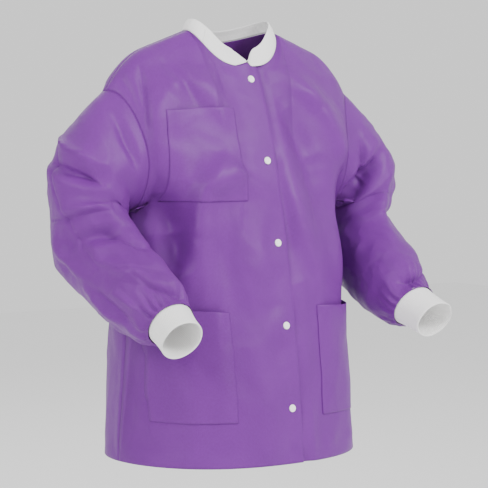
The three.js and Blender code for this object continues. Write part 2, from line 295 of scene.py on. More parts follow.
def grid_area(points):
    a, b = points[:-1, :-1], points[1:, 1:]
    c, d = points[1:, :-1], points[:-1, 1:]
    return float(np.linalg.norm(np.cross(b - a, c - d), axis=2).sum() / 2)


def quads(rows, columns, spans):
    """The faces of a grid: spans of them across each pair of rows."""
    j, i = np.mgrid[0:rows - 1, 0:spans]
    right = (i + 1) % columns
    upper, lower = j * columns, (j + 1) * columns
    return np.stack([upper + i, lower + i, lower + right, upper + right], 2)


def grid_object(name, points, ring=False):
    """A sheet of quads from a rows x columns x 3 array, facing outward, with its cloth map."""
    rows, columns = points.shape[:2]
    spans = columns if ring else columns - 1
    j, i = np.mgrid[0:rows - 1, 0:spans]
    faces = quads(rows, columns, spans)
    mesh = bpy.data.meshes.new(name)
    mesh.from_pydata(points.reshape(-1, 3).tolist(), [], faces.reshape(-1, 4).tolist())
    wrapped = np.concatenate([points, points[:, :1]], 1) if ring else points
    flat = grid_uv(wrapped)
    corner_rows = np.stack([j, j + 1, j + 1, j], 2).reshape(-1)
    corner_columns = np.stack([i, i, i + 1, i + 1], 2).reshape(-1)
    layer = mesh.uv_layers.new(name="cloth")
    layer.data.foreach_set("uv", flat[corner_rows, corner_columns].reshape(-1).astype(np.float32))
    mesh.update()
    piece = bpy.data.objects.new(name, mesh)
    bpy.context.collection.objects.link(piece)
    return piece


def apply_modifiers(piece):
    bpy.ops.object.select_all(action="DESELECT")
    bpy.context.view_layer.objects.active = piece
    piece.select_set(True)
    for modifier in list(piece.modifiers):
        bpy.ops.object.modifier_apply(modifier=modifier.name)
    piece.select_set(False)


def thicken(piece, thickness):
    """Gives a sheet its closed thickness on the inner side and smooth shading."""
    wall = piece.modifiers.new("wall", "SOLIDIFY")
    wall.thickness, wall.offset, wall.use_rim = thickness, -1, True
    apply_modifiers(piece)
    piece.data.shade_smooth()
    return piece


def panel_points(side, start, neck, columns, rows):
    """The panel on the +X half as arrays: points on the worn surface."""
    points = np.zeros((rows + 1, columns + 1, 3))
    for j in range(rows + 1):
        for i in range(columns + 1):
            x, z = fill_outline(i / columns, (j / rows) ** 1.15, start, neck)
            points[j, i] = x, surface_y(side, x, z), z
    return points


def mirrored(points):
    return (points * (-1, 1, 1))[:, ::-1]


def lift_points(points, lift, ring=False):
    return points + grid_normals(points, ring) * lift[..., None]


def fold_lift(points, folds):
    x, z = points[..., 0], points[..., 2]
    return sum((fold.lift(x, z) for fold in folds), np.zeros(points.shape[:2]))


def crumple_lift(points, seed, scale, height):
    return crumple(points.reshape(-1, 3), seed, scale, height).reshape(points.shape[:2])


def edge_fade(points, reach):
    """0 at a sheet's four edges, 1 from reach metres inside them."""
    rows, columns = points.shape[:2]
    across = np.linalg.norm(np.diff(points, axis=1), axis=2)
    down = np.linalg.norm(np.diff(points, axis=0), axis=2)
    u = np.concatenate([np.zeros((rows, 1)), np.cumsum(across, 1)], 1)
    v = np.concatenate([np.zeros((1, columns)), np.cumsum(down, 0)], 0)
    near = np.minimum(np.minimum(u, u[:, -1:] - u), np.minimum(v, v[-1:] - v))
    t = np.clip(near / reach, 0, 1)
    return t * t * (3 - 2 * t)


# ---------------------------------------------------------------------------
# Materials
# ---------------------------------------------------------------------------

class Socket:
    """A number or vector output in a node tree; operators add Math nodes."""

    def __init__(self, shader, output):
        self.shader, self.output = shader, output

    def _math(self, operation, *values):
        return self.shader.node("ShaderNodeMath", {"operation": operation}, dict(enumerate(values)))

    def __add__(self, other):
        return self._math("ADD", self, other)

    __radd__ = __add__

    def __mul__(self, other):
        return self._math("MULTIPLY", self, other)

    __rmul__ = __mul__

    def __sub__(self, other):
        return self._math("SUBTRACT", self, other)

    def __rsub__(self, other):
        return self._math("SUBTRACT", other, self)

    def sin(self):
        return self._math("SINE", self)

    def above(self, edge):
        return self._math("GREATER_THAN", self, edge)



class Shader:
    """One material and its Principled shader."""

    def __init__(self, name, **constants):
        self.material = bpy.data.materials.new(name)
        self.material.use_nodes = True
        self.tree = self.material.node_tree
        self.surface = self.tree.nodes["Principled BSDF"]
        for key, value in constants.items():
            self.surface.inputs[key.replace("_", " ")].default_value = value

    def node(self, kind, settings=None, values=None, output=0):
        """A node of the kind, its settings set first, then the values or links of its inputs."""
        made = self.tree.nodes.new(kind)
        for key, value in (settings or {}).items():
            setattr(made, key, value)
        for key, value in (values or {}).items():
            if isinstance(value, Socket):
                self.tree.links.new(value.output, made.inputs[key])
            else:
                made.inputs[key].default_value = value
        return Socket(self, made.outputs[output])

    def place(self, source="UV"):
        return self.node("ShaderNodeTexCoord", output=source)

    def parts(self, vector):
        xyz = self.node("ShaderNodeSeparateXYZ", values={0: vector})
        outputs = xyz.output.node.outputs
        return [Socket(self, outputs[k]) for k in range(3)]

    def noise(self, vector, scale, detail=3.0, roughness=0.5):
        return self.node("ShaderNodeTexNoise", {}, {"Vector": vector, "Scale": scale, "Detail": detail,
                                                    "Roughness": roughness})

    def blend(self, factor, a, b):
        return self.node("ShaderNodeMix", {"data_type": "RGBA"}, {0: factor, 6: a, 7: b}, output=2)

    def link(self, name, socket):
        self.tree.links.new(socket.output, self.surface.inputs[name])

    def bump(self, height, distance, strength=1.0):
        self.link("Normal", self.node("ShaderNodeBump", {}, {"Strength": strength, "Distance": distance,
                                                             "Height": height}))


def tone(colour, factor):
    """A colour made darker or lighter."""
    return tuple(c * factor for c in colour[:3]) + (1.0,)


def nonwoven(name, colour):
    """Spunbond cloth: fine bonded grain, faint clouding and a soft waxy sheen."""
    shader = Shader(name, Sheen_Weight=0.04, Sheen_Roughness=0.4, Specular_IOR_Level=0.22,
                    Sheen_Tint=(0.86, 0.60, 0.95, 1.0))
    cloth = shader.place("UV")
    u, v, _ = shader.parts(cloth)
    cloud = shader.noise(cloth, 14.0, 4.0)
    fibre = shader.noise(cloth, 620.0, 2.0, 0.7)
    drawn_out = shader.node("ShaderNodeMapping", {}, {"Vector": cloth, "Scale": (900, 60, 1)})
    streak = shader.noise(drawn_out, 1.0, 2.0)
    mottle = shader.noise(cloth, 240.0, 3.0, 0.65)
    bonds = ((u + v) * 2400).sin() * ((u - v) * 2400).sin()
    pits = bonds.above(0.45)
    shade = cloud * 0.35 + mottle * 0.45 + fibre * 0.12 + streak * 0.08
    body = shader.blend(shade, tone(colour, 0.62), tone(colour, 1.34))
    shader.link("Base Color", shader.blend(pits * 0.10, body, tone(colour, 0.62)))
    shader.link("Roughness", 0.40 + fibre * 0.14 - pits * 0.05)
    height = fibre * 0.5 - pits * 0.5 + cloud * 0.8 + mottle * 0.6
    shader.bump(height, 0.00036, 1.0)
    return shader.material


def rib_knit(name, colour, pitch):
    """Rib knit: upright ribs made of small loops, matte and slightly fuzzy, with painted shade in the troughs
    between ribs and loops.
    """
    shader = Shader(name, Sheen_Weight=0.35, Sheen_Roughness=0.6, Specular_IOR_Level=0.25)
    cloth = shader.place("UV")
    u, v, _ = shader.parts(cloth)
    rib = (u * (2 * math.pi / pitch)).sin()
    loop = ((v * (2 * math.pi / (pitch * 0.8))).sin() + (u * (4 * math.pi / pitch)).sin()) * 0.5
    fuzz = shader.noise(cloth, 900.0, 3.0)
    # Painted shade and highlight: the rib and loop waves that make the bump also darken the troughs and
    # lighten the crests; the fuzz is random tone.
    shade = rib * 0.22 + loop * 0.12 + fuzz * 0.35 + 0.35
    shader.link("Base Color", shader.blend(shade, tone(colour, 0.86), tone(colour, 1.03)))
    shader.link("Roughness", 0.82 + fuzz * 0.12)
    shader.bump(rib * 0.6 + loop * 0.25 + fuzz * 0.2, 0.00035, 0.9)
    return shader.material


def moulded(name, colour):
    """Moulded snap plastic: satin, with faint flow marks."""
    shader = Shader(name, Specular_IOR_Level=0.5, Coat_Roughness=0.25)
    local = shader.place("Object")
    marks = shader.noise(local, 700.0, 3.0)
    broad = shader.noise(local, 90.0, 2.0)
    shader.link("Base Color", shader.blend(broad, tone(colour, 0.95), tone(colour, 1.02)))
    shader.link("Roughness", 0.26 + marks * 0.12)
    shader.bump(marks, 0.00004, 0.5)
    return shader.material


def woven_tape(name, colour):
    """Plain woven tape, matte, with painted shade where the weave dips."""
    shader = Shader(name, Sheen_Weight=0.2, Specular_IOR_Level=0.3)
    cloth = shader.place("UV")
    u, v, _ = shader.parts(cloth)
    weave = (u * 6000).sin() * (v * 6000).sin()
    fuzz = shader.noise(cloth, 800.0, 2.0)
    # Painted shade and highlight: the weave wave that makes the bump also darkens the low points and lightens
    # the high points; the fuzz is random tone.
    shader.link("Base Color", shader.blend(weave * 0.3 + fuzz * 0.7, tone(colour, 0.88), tone(colour, 1.04)))
    shader.link("Roughness", 0.72 + fuzz * 0.12)
    shader.bump(weave * 0.6 + fuzz * 0.3, 0.00015, 0.8)
    return shader.material


def plain_floor(name, colour):
    """Matte floor with a very faint unevenness."""
    shader = Shader(name, Roughness=0.9, Specular_IOR_Level=0.2)
    local = shader.place("Object")
    shade = shader.noise(local, 2.0, 2.0)
    shader.link("Base Color", shader.blend(shade, tone(colour, 0.99), tone(colour, 1.0)))
    return shader.material


FINISHES = {}


def finish(piece, key):
    """Gives a piece its material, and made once."""
    look = bpy.context.scene.jacket_look
    makers = {
        "cloth": lambda: nonwoven("purple_nonwoven", look.cloth),
        "knit": lambda: rib_knit("white_rib_knit", look.knit, 0.0026),
        "plastic": lambda: moulded("white_snap_plastic", look.plastic),
        "tape": lambda: woven_tape("pale_label_tape", look.tape),
    }
    if key not in FINISHES:
        FINISHES[key] = makers[key]()
    piece.data.materials.clear()
    piece.data.materials.append(FINISHES[key])


# ---------------------------------------------------------------------------
# Baking the pieces in place at the jacket's joints
# ---------------------------------------------------------------------------

FOLD_TOP, FOLD_HEM = 0.0507, 0.0600        # half-width of the line a front folds open along


def bend_front(piece, side):
    """Bakes a sheet on one front into place; its fold line is worked out but not used. Side -1 is the
    wearer's right.
    """
    normal = Vector((-side * 0.9999, 0, -0.014))
    middle = Vector((side * (FOLD_TOP + FOLD_HEM) / 2, 0, HEM_Z / 2))
    body = "right_front" if side < 0 else "left_front"
    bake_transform(piece)


def bend_sleeve(piece, side):
    """Bakes a sleeve into place; its outward way at the shoulder is worked out but not used."""
    outward = Vector((side * 0.6, 0, -0.8))
    side_name(side) + "_sleeve"
    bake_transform(piece)


def side_name(side):
    return "right" if side < 0 else "left"


# ---------------------------------------------------------------------------
# Folds, in millimetres on flat maps: x and z for the body, y and z for a sleeve's outer side
# ---------------------------------------------------------------------------

def creases(points, width, height, **more):
    """One fold running through several points."""
    return [Fold(*a, *b, width, height, **more) for a, b in zip(points, points[1:])]


RIGHT_FRONT_FOLDS = (
    creases([(-225, -80), (-211, -160)], 8, -5, sharp=True)
    + creases([(-195, -71), (-206, -157)], 7, -4, sharp=True)
    + creases([(-250, -128), (-217, -262)], 9, -6, sharp=True)
    + creases([(-203, -165), (-165, -105), (-115, -81), (-69, -125)], 24, 4.5)
    + creases([(-175, -445), (-143, -340), (-125, -262), (-89, -225), (-49, -247)], 21, 7, lean=0.35)
    + creases([(-195, -270), (-178, -330), (-168, -400)], 26, -11)
    + creases([(-60, -57), (-62, -98)], 5, -2.5, sharp=True)
    + creases([(-57, -276), (-64, -326)], 4, -1.5, sharp=True)
    + creases([(-110, -330), (-95, -420)], 30, -4)
    + creases([(-30, -330), (-45, -420)], 26, 3.5)
    + creases([(-150, -60), (-120, -110)], 10, -3)
)
LEFT_FRONT_FOLDS = (
    creases([(22, -200), (52, -320), (85, -433)], 25, 5.5, lean=-0.3)
    + creases([(87, -82), (135, -130), (197, -227)], 24, 6, lean=-0.3)
    + creases([(60, -130), (95, -210), (120, -330)], 26, -6)
    + creases([(205, -215), (192, -330), (188, -470)], 22, -8)
    + creases([(34, -65), (26, -82)], 4, -2, sharp=True)
    + creases([(225, -120), (212, -215)], 8, -5, sharp=True)
    + creases([(150, -300), (130, -440)], 24, 4)
)
BACK_FOLDS = (
    creases([(-120, -90), (-175, -190)], 18, 4)
    + creases([(120, -85), (185, -200)], 20, 5)
    + creases([(-210, -150), (-150, -300), (-120, -430)], 22, -6)
    + creases([(215, -160), (150, -290), (135, -440)], 24, -7)
    + creases([(-60, -160), (-40, -380), (-70, -600)], 34, 5)
    + creases([(70, -250), (55, -450), (85, -690)], 30, 5)
    + creases([(0, -300), (10, -520)], 30, -5)
    + creases([(-160, -420), (-170, -690)], 26, 5)
)
RIGHT_SLEEVE_OUTER = (
    creases([(14, -197), (18, -221), (9, -261), (-16, -305), (-46, -354), (-85, -380), (-186, -380)],
            3, -1.4, sharp=True)
    + creases([(51, -314), (-22, -306), (-121, -280)], 5, -2.2, sharp=True)
    + creases([(34, -214), (-30, -236), (-80, -250), (-147, -269)], 13, -6, lean=0.4)
    + creases([(30, -180), (-40, -205), (-120, -258)], 9, 4, sharp=True)
    + creases([(-57, -117), (-104, -164), (-144, -272)], 12, 5, sharp=True)
    + creases([(-30, -130), (-80, -190), (-140, -262)], 9, -4)
    + creases([(-20, -290), (-80, -285), (-145, -277)], 11, 5)
    + creases([(-30, -345), (-90, -322), (-150, -300)], 12, -5)
    + creases([(-147, -385), (-223, -429)], 8, -4, sharp=True)
    + creases([(-90, -372), (-150, -384), (-215, -415)], 10, 4)
    + creases([(-158, -426), (-209, -461)], 7, -3.5, sharp=True)
    + creases([(-130, -420), (-195, -446)], 7, 3)
    + creases([(-10, -385), (-90, -430), (-150, -462)], 10, -4)
    + creases([(20, -350), (-40, -400), (-100, -450)], 12, 4)
)
LEFT_SLEEVE_OUTER = (
    creases([(30, -180), (-10, -260), (-60, -330)], 12, -5)
    + creases([(50, -310), (-40, -320), (-110, -300)], 8, -4, sharp=True)
    + creases([(-20, -370), (-100, -400), (-170, -420)], 8, -4, sharp=True)
    + creases([(10, -230), (-50, -290)], 14, 5)
    + creases([(-60, -420), (-140, -455)], 10, -4)
)
RIGHT_SLEEVE_FRONT = (
    creases([(-250, -150), (-232, -210)], 10, -5)
    + creases([(-290, -330), (-230, -350)], 9, -5, sharp=True)
    + creases([(-300, -400), (-235, -420)], 8, -4, sharp=True)
)
LEFT_SLEEVE_FRONT = (
    creases([(277, -216), (245, -255), (208, -302)], 12, -9)
    + creases([(241, -193), (242, -255)], 9, -5, sharp=True)
    + creases([(353, -386), (284, -411), (227, -421)], 7, -5, sharp=True)
    + creases([(215, -385), (193, -416)], 6, -4, sharp=True)
    + creases([(233, -425), (290, -498)], 16, -4)
    + creases([(300, -435), (309, -461)], 9, 4)
    + creases([(300, -260), (255, -330)], 14, 5)
)

BODY_FOLDS, SLEEVE_FOLDS = 2.0, 2.6        # how far the listed heights are exaggerated
SNAP_COUNT = 5
SNAP_PLACES = [(Vector(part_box(f"snap_cap_{i}")[0]) + Vector(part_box(f"snap_cap_{i}")[1])) / 2
               for i in range(1, SNAP_COUNT + 1)]


def calm_at_snaps(points):
    """0 close to a snap, where it holds the cloth, and 1 away from all of them."""
    calm = np.ones(points.shape[:2])
    for place in SNAP_PLACES:
        distance = np.hypot(points[..., 0] - place.x, points[..., 2] - place.z)
        t = np.clip((distance - 0.010) / 0.030, 0, 1)
        calm = calm * t * t * (3 - 2 * t)
    return calm


def flutes(points, seed, height):
    """Upright waves that grow toward the hem."""
    x, z = points[..., 0], points[..., 2]
    grow = np.clip((z + 0.25) / (HEM_Z + 0.25), 0, 1) ** 1.3
    phase = x * 52 + seed + 0.8 * np.sin(z * 9 + seed)
    return height * grow * (np.sin(phase) + 0.4 * np.sin(phase * 1.9 + seed))


def body_lift(points, folds, seed):
    """A body panel's folds, flutes and crumples, calm at its edges."""
    lift = BODY_FOLDS * fold_lift(points, folds) + flutes(points, seed, 0.003)
    lift = lift + crumple_lift(points, seed, 7.0, 0.0070) + crumple_lift(points, seed + 5, 24.0, 0.0016)
    return lift * edge_fade(points, 0.030)


def turned_under(points, reach, gap, spacing=0.004):
    """Adds the strip folded inward along the last column."""
    normals = grid_normals(points, False)
    edge, inside = points[:, -1], -normals[:, -1]
    columns = max(int(reach / spacing), 2)
    outer_way = points[:, -1] - points[:, -2]
    outer_way = outer_way / np.linalg.norm(outer_way, axis=1, keepdims=True)
    added = [edge + inside * gap * (1 - math.cos(a)) / 2 + outer_way * gap * math.sin(a) / 2
             for a in (math.pi * 0.25, math.pi * 0.5, math.pi * 0.75)]
    for k in range(1, columns + 1):
        column = points.shape[1] - k
        added.append(points[:, column] - normals[:, column] * gap)
    return np.concatenate([points, np.stack(added, 1)], 1)


# ---------------------------------------------------------------------------
# Pieces
# ---------------------------------------------------------------------------

class Look(bpy.types.PropertyGroup):
    """Colours and set sizes of the jacket."""

    cloth: bpy.props.FloatVectorProperty(
        name="Cloth", description="Colour of the nonwoven cloth", size=4, subtype="COLOR",
        default=(0.150, 0.022, 0.248, 1), min=0, max=1)
    knit: bpy.props.FloatVectorProperty(
        name="Knit", description="Colour of the collar and cuffs", size=4, subtype="COLOR",
        default=(0.93, 0.925, 0.915, 1), min=0, max=1)
    plastic: bpy.props.FloatVectorProperty(
        name="Plastic", description="Colour of the snaps", size=4, subtype="COLOR",
        default=(0.95, 0.95, 0.945, 1), min=0, max=1)
    tape: bpy.props.FloatVectorProperty(
        name="Tape", description="Colour of the neck label", size=4, subtype="COLOR",
        default=(0.70, 0.70, 0.69, 1), min=0, max=1)
    columns: bpy.props.IntProperty(
        name="Columns", description="Columns of faces across half a body panel", default=66, min=8)
    rows: bpy.props.IntProperty(
        name="Rows", description="Rows of faces down a body panel", default=180, min=8)
    turns: bpy.props.IntProperty(
        name="Turns", description="Columns of faces round a sleeve", default=132, min=8)


FRONT_TREES = {}


def tree_of(points):
    """A search tree over a grid, to look up where the cloth lies."""
    rows, columns = points.shape[:2]
    return BVHTree.FromPolygons(points.reshape(-1, 3).tolist(),
                                quads(rows, columns, columns - 1).reshape(-1, 4).tolist())


class JACKET_OT_back(bpy.types.Operator):
    """Builds the one-piece back."""

    bl_idname = "jacket.back"
    bl_label = "Back"
    bl_options = {"UNDO"}

    def execute(self, context):
        look = context.scene.jacket_look
        half = panel_points(1, 0, back_neck_z, look.columns, look.rows)
        points = np.concatenate([half[:, ::-1], (half * (-1, 1, 1))[:, 1:]], 1)
        from_neck = np.hypot(points[..., 0], points[..., 2])
        calm = np.clip((from_neck - 0.060) / 0.060, 0, 1)
        points = lift_points(points, body_lift(points, BACK_FOLDS, 3) * calm)
        piece = thicken(grid_object("back", points), CLOTH)
        finish(piece, "cloth")
        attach(piece, "coat_body")
        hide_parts("back_panel")
        cut_area(points, 0.62, 0.73)
        return {"FINISHED"}


def cut_area(points, width, length):
    """The cloth's own area, no more than the rectangle it is cut from."""
    return round(min(grid_area(points), width * length), 4)


class JACKET_OT_fronts(bpy.types.Operator):
    """Builds the two fronts, the right one lapped over the left."""

    bl_idname = "jacket.fronts"
    bl_label = "Fronts"
    bl_options = {"UNDO"}

    def execute(self, context):
        look = context.scene.jacket_look
        for side, lap, folds, seed in ((-1, LAP, RIGHT_FRONT_FOLDS, 11), (1, UNDERLAP, LEFT_FRONT_FOLDS, 19)):
            points = panel_points(-1, -lap, neck_z, look.columns + 8, look.rows)
            if side > 0:
                near = np.clip((STEP_OUT - points[..., 0]) / (STEP_OUT - STEP_IN), 0, 1)
                points[..., 1] += LAP_STEP * near * near * (3 - 2 * near)
                points = points[:, ::-1]        # the lap edge last, as on the right
            else:
                points = mirrored(points)
            for row in points:
                for point in row:
                    below = max(neck_z(point[0]) - point[2], 0)
                    point[2] += notch_rise(point[0]) * math.exp(-below / 0.015)
            outward = points if side < 0 else points[:, ::-1]
            lift = body_lift(outward, folds, seed) * calm_at_snaps(outward)
            outward = lift_points(outward, lift)
            FRONT_TREES[side] = tree_of(outward)
            if side < 0:
                sheet = turned_under(outward, FACING, 0.0019)
            else:
                sheet = turned_under(outward[::-1, ::-1], FACING, 0.0019)[::-1, ::-1]
            piece = thicken(grid_object(side_name(side) + "_front", sheet), CLOTH)
            finish(piece, "cloth")
            bend_front(piece, side)
            name = side_name(side)
            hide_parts(name + "_side_front", name + "_front_band")
            cut_area(sheet, 0.42, 0.74)
        return {"FINISHED"}


def front_at(side, x, z):
    """Where a front lies at x and z, and the way it faces."""
    hit, normal, _, _ = FRONT_TREES[side].ray_cast(Vector((x, -0.6, z)), Vector((0, 1, 0)))
    if hit is None:
        raise RuntimeError(f"no front at {x:.3f} {z:.3f}")
    return hit, normal if normal.y < 0 else -normal


class JACKET_OT_pockets(bpy.types.Operator):
    """Builds the chest pocket and the two hip pockets."""

    bl_idname = "jacket.pockets"
    bl_label = "Pockets"
    bl_options = {"UNDO"}

    def execute(self, context):
        for name, side, outline, bulge, seed in (("chest_pocket", -1, CHEST_POCKET, 0.0022, 4),
                                                 ("right_hip_pocket", -1, RIGHT_HIP_POCKET, 0.0035, 6),
                                                 ("left_hip_pocket", 1, LEFT_HIP_POCKET, 0.0035, 8)):
            points = self.patch(side, outline, bulge, seed)
            mouth = np.stack([points[0] + (0, 0.0006, 0.0012), points[0] + (0, 0.0016, 0.0004)] + [
                points[k] + (0, 0.0017, -0.0004) for k in range(1, 5)])
            sheet = np.concatenate([mouth[::-1], points], 0)
            piece = thicken(grid_object(name + "_cloth", sheet), POCKET_CLOTH)
            finish(piece, "cloth")
            if name == "chest_pocket":
                bend_front(piece, side)
            else:
                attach(piece, "coat_body")
            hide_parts(name)
            width, length = (0.155, 0.180) if name == "chest_pocket" else (0.190, 0.205)
            cut_area(sheet, width, length)
        return {"FINISHED"}

    def patch(self, side, outline, bulge, seed):
        """A pocket's grid on the worn front: closed at three edges and standing off at the mouth."""
        columns, rows = 44, 48
        points = np.zeros((rows + 1, columns + 1, 3))
        for j in range(rows + 1):
            for i in range(columns + 1):
                u, v = i / columns, j / rows
                inner, outer, top, bottom = outline
                x = mix(-outer, -inner, u) if side < 0 else mix(inner, outer, u)
                z = mix(top, bottom, v) + 0.002 * math.sin(5 * u + seed) * (1 - v)
                hit, normal = front_at(side, x, z)
                edge = min(u, 1 - u, 1 - v)
                open_at = smooth(edge / 0.22)
                stand = 0.0012 + bulge * open_at * (0.6 + 1.6 * smooth(1 - v * 2.5))
                points[j, i] = hit + normal * stand
        return points


# Sleeves and cuffs on the +X side. A ring is an ellipse: its centre, the direction of its outer point,
# the direction of its front point and the two half-sizes.
ACROSS = (1, 0, 0)
FOREARM_UP = (0, -0.51, 0.86)
RINGS = [
    ((0.260, 0.003, -0.224), (0.47, 0, 0.88), (0, -1, 0), (0.082, 0.068)),
    ((0.280, 0.004, -0.261), (0.82, 0, 0.57), (0, -1, 0), (0.076, 0.072)),
    ((0.277, 0.010, -0.303), (1, 0, 0.09), (0, -0.95, 0.31), (0.059, 0.076)),
    ((0.275, -0.002, -0.347), ACROSS, (0, -0.8, 0.6), (0.057, 0.087)),
    ((0.266, -0.045, -0.383), ACROSS, FOREARM_UP, (0.057, 0.077)),
    ((0.258, -0.105, -0.419), ACROSS, FOREARM_UP, (0.056, 0.072)),
    ((0.252, -0.155, -0.448), ACROSS, FOREARM_UP, (0.051, 0.060)),
    ((0.2495, -0.178, -0.4615), ACROSS, FOREARM_UP, (0.045, 0.047)),
]
WRIST = np.array((0.2486, -0.190, -0.465))
ARM_END = np.array((0.2572, -0.2325, -0.4846))
FOREARM = (ARM_END - WRIST) / np.linalg.norm(ARM_END - WRIST)
SLEEVE_END = 0.0405
CUFF_TOP, CUFF_MOUTH = 0.0385, 0.0355
CUFF_LENGTH, CUFF_TUCK = 0.052, 0.004


def ring_points(centre, out, front, half, angles):
    """Points round one ring of a sleeve."""
    return (np.array(centre) + np.outer(np.cos(angles), np.array(out) * half[0])
            - np.outer(np.sin(angles), np.array(front) * half[1]))


def armhole_ring(turns):
    """The armhole edge from its top round the back, the armpit and the front."""
    points = []
    for i in range(turns):
        turn = i / turns
        x, z = armhole(turn * 2 if turn < 0.5 else 2 - turn * 2)
        points.append(on_surface(1 if turn < 0.5 else -1, x, z))
    return np.array(points)


def through_rings(rings, rows):
    """Rows of a smooth sleeve through control rings, spread evenly along it."""
    rings = np.array(rings)
    padded = np.concatenate([rings[:1] * 2 - rings[1:2], rings, rings[-1:] * 2 - rings[-2:-1]])
    steps = np.linalg.norm(np.diff(rings.mean(1), axis=0), axis=1) + 0.012
    reach = np.concatenate([[0], np.cumsum(steps)])
    out = []
    for distance in np.linspace(0, reach[-1], rows + 1):
        k = min(int(np.searchsorted(reach, distance, side="right")) - 1, len(rings) - 2)
        t = (distance - reach[k]) / (reach[k + 1] - reach[k])
        a, b, c, d = padded[k:k + 4]
        curve = 0.5 * (2 * b + (c - a) * t + (2 * a - 5 * b + 4 * c - d) * t ** 2
                       + (3 * b - a - 3 * c + d) * t ** 3)
        out.append(mix(mix(b, c, t), curve, 0.55))
    return np.array(out)


class JACKET_OT_sleeves(bpy.types.Operator):
    """Builds the two sleeves, gathered into their cuffs."""

    bl_idname = "jacket.sleeves"
    bl_label = "Sleeves"
    bl_options = {"UNDO"}

    def execute(self, context):
        look = context.scene.jacket_look
        turns, rows = look.turns, 150
        angles = np.arange(turns) / turns * 2 * math.pi
        rings = [armhole_ring(turns)] + [ring_points(*ring, angles) for ring in RINGS]
        rings.append(ring_points(WRIST, ACROSS, FOREARM_UP, (SLEEVE_END, SLEEVE_END), angles))
        base = through_rings(rings, rows)
        for side, outer, front, seed in ((-1, RIGHT_SLEEVE_OUTER, RIGHT_SLEEVE_FRONT, 23),
                                         (1, LEFT_SLEEVE_OUTER, LEFT_SLEEVE_FRONT, 29)):
            points = mirrored(base) if side < 0 else base.copy()
            normals = grid_normals(points, True)
            y, z, x = points[..., 1], points[..., 2], points[..., 0]
            outer_face = np.clip(normals[..., 0] * side * 1.6, 0, 1)
            front_face = np.clip(-normals[..., 1] * 1.6, 0, 1) * (1 - outer_face * 0.6)
            lift = SLEEVE_FOLDS * sum(fold.lift(y, z) for fold in outer) * outer_face
            lift = lift + SLEEVE_FOLDS * sum(fold.lift(x, z) for fold in front) * front_face
            lift = lift + crumple_lift(points, seed, 12.0, 0.0060)
            lift = lift + crumple_lift(points, seed + 3, 27.0, 0.0026)
            down = np.linspace(0, 1, rows + 1)[:, None]
            ends = np.clip(down / 0.07, 0, 1) * np.clip((1 - down) / 0.05, 0, 1)
            pleats = np.sin(angles * 19 + 2.2 * np.sin(angles * 3 + seed))
            pleats = pleats * (0.6 + 0.4 * np.sin(angles * 5 + seed))
            gather = np.clip((down - 0.84) / 0.12, 0, 1) * np.clip((1.002 - down) / 0.03, 0.15, 1)
            lift = lift * ends + gather * pleats * 0.0026
            points = lift_points(points, lift, True)
            piece = thicken(grid_object(side_name(side) + "_sleeve_cloth", points, True), CLOTH)
            finish(piece, "cloth")
            bend_sleeve(piece, side)
            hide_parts(side_name(side) + "_upper_sleeve", side_name(side) + "_lower_sleeve")
            whole = np.concatenate([points, points[:, :1]], 1)
            cut_area(whole, 0.50, 0.56)
        return {"FINISHED"}


class JACKET_OT_cuffs(bpy.types.Operator):
    """Builds the rib-knit cuffs, each folded double at its mouth."""

    bl_idname = "jacket.cuffs"
    bl_label = "Cuffs"
    bl_options = {"UNDO"}

    def execute(self, context):
        turns = 120
        angles = np.arange(turns) / turns * 2 * math.pi
        profile = [(-CUFF_TUCK + k * 0.0035, 0.0) for k in range(16)]
        mouth = CUFF_LENGTH - CUFF_TUCK
        profile = [(a, r) for a, r in profile if a < mouth - 0.001]
        profile += [(mouth + 0.0012 * math.sin(t), -0.0012 * (1 - math.cos(t)))
                    for t in np.linspace(0.3, math.pi, 6)]
        profile += [(mouth - k * 0.0045, -0.0024 - 0.00008 * k * k) for k in range(1, 15)]
        rows = []
        for along, inward in profile:
            part = clamp((along + CUFF_TUCK) / CUFF_LENGTH, 0, 1)
            waist = 0.0012 * math.sin(math.pi * part)
            radius = mix(CUFF_TOP, CUFF_MOUTH, part) - waist + inward
            wave = radius * (1 + 0.012 * np.sin(angles * 2 + 1) * part + 0.006 * np.sin(angles * 5) * part)
            centre = WRIST + FOREARM * along
            rows.append(centre + np.cos(angles)[:, None] * np.array(ACROSS) * wave[:, None]
                        - np.sin(angles)[:, None] * np.array(FOREARM_UP) * wave[:, None])
        base = np.array(rows)
        for side in (-1, 1):
            points = mirrored(base) if side < 0 else base
            piece = thicken(grid_object(side_name(side) + "_cuff_knit", points, True), KNIT)
            finish(piece, "knit")
            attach(piece, side_name(side) + "_sleeve")
            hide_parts(side_name(side) + "_cuff")
            whole = np.concatenate([points, points[:, :1]], 1)
            cut_area(whole, 0.24, 0.10)
        return {"FINISHED"}


COLLAR_HEIGHT, COLLAR_BACK, COLLAR_LEAN, COLLAR_THICK = 0.027, 0.018, 0.014, 0.0024
COLLAR_END = 0.06               # height of the collar's ends, as a share of its full height
COLLAR_TAPER = 0.036


def neck_point(angle):
    """A point of the neck edge, at an angle round the neck from its front."""
    x = NECK_HALF_WIDTH * math.sin(angle)
    front = math.cos(angle) > 0
    point = on_surface(-1 if front else 1, x, neck_z(x) if front else back_neck_z(x))
    if front:
        point.z += notch_rise(x)
    return point


def collar_height(angle):
    """Tall at the front, low at the sides and back, and cut slanting at the two ends."""
    turn = math.acos(math.cos(angle))
    full = mix(COLLAR_HEIGHT, COLLAR_BACK, smooth((turn - math.pi / 4) / (math.pi / 4)))
    if turn >= math.pi / 2:
        return full
    slant = clamp(NECK_HALF_WIDTH * math.sin(turn) / COLLAR_TAPER, 0, 1)
    return full * mix(COLLAR_END, 1, math.sin(slant * math.pi / 2))


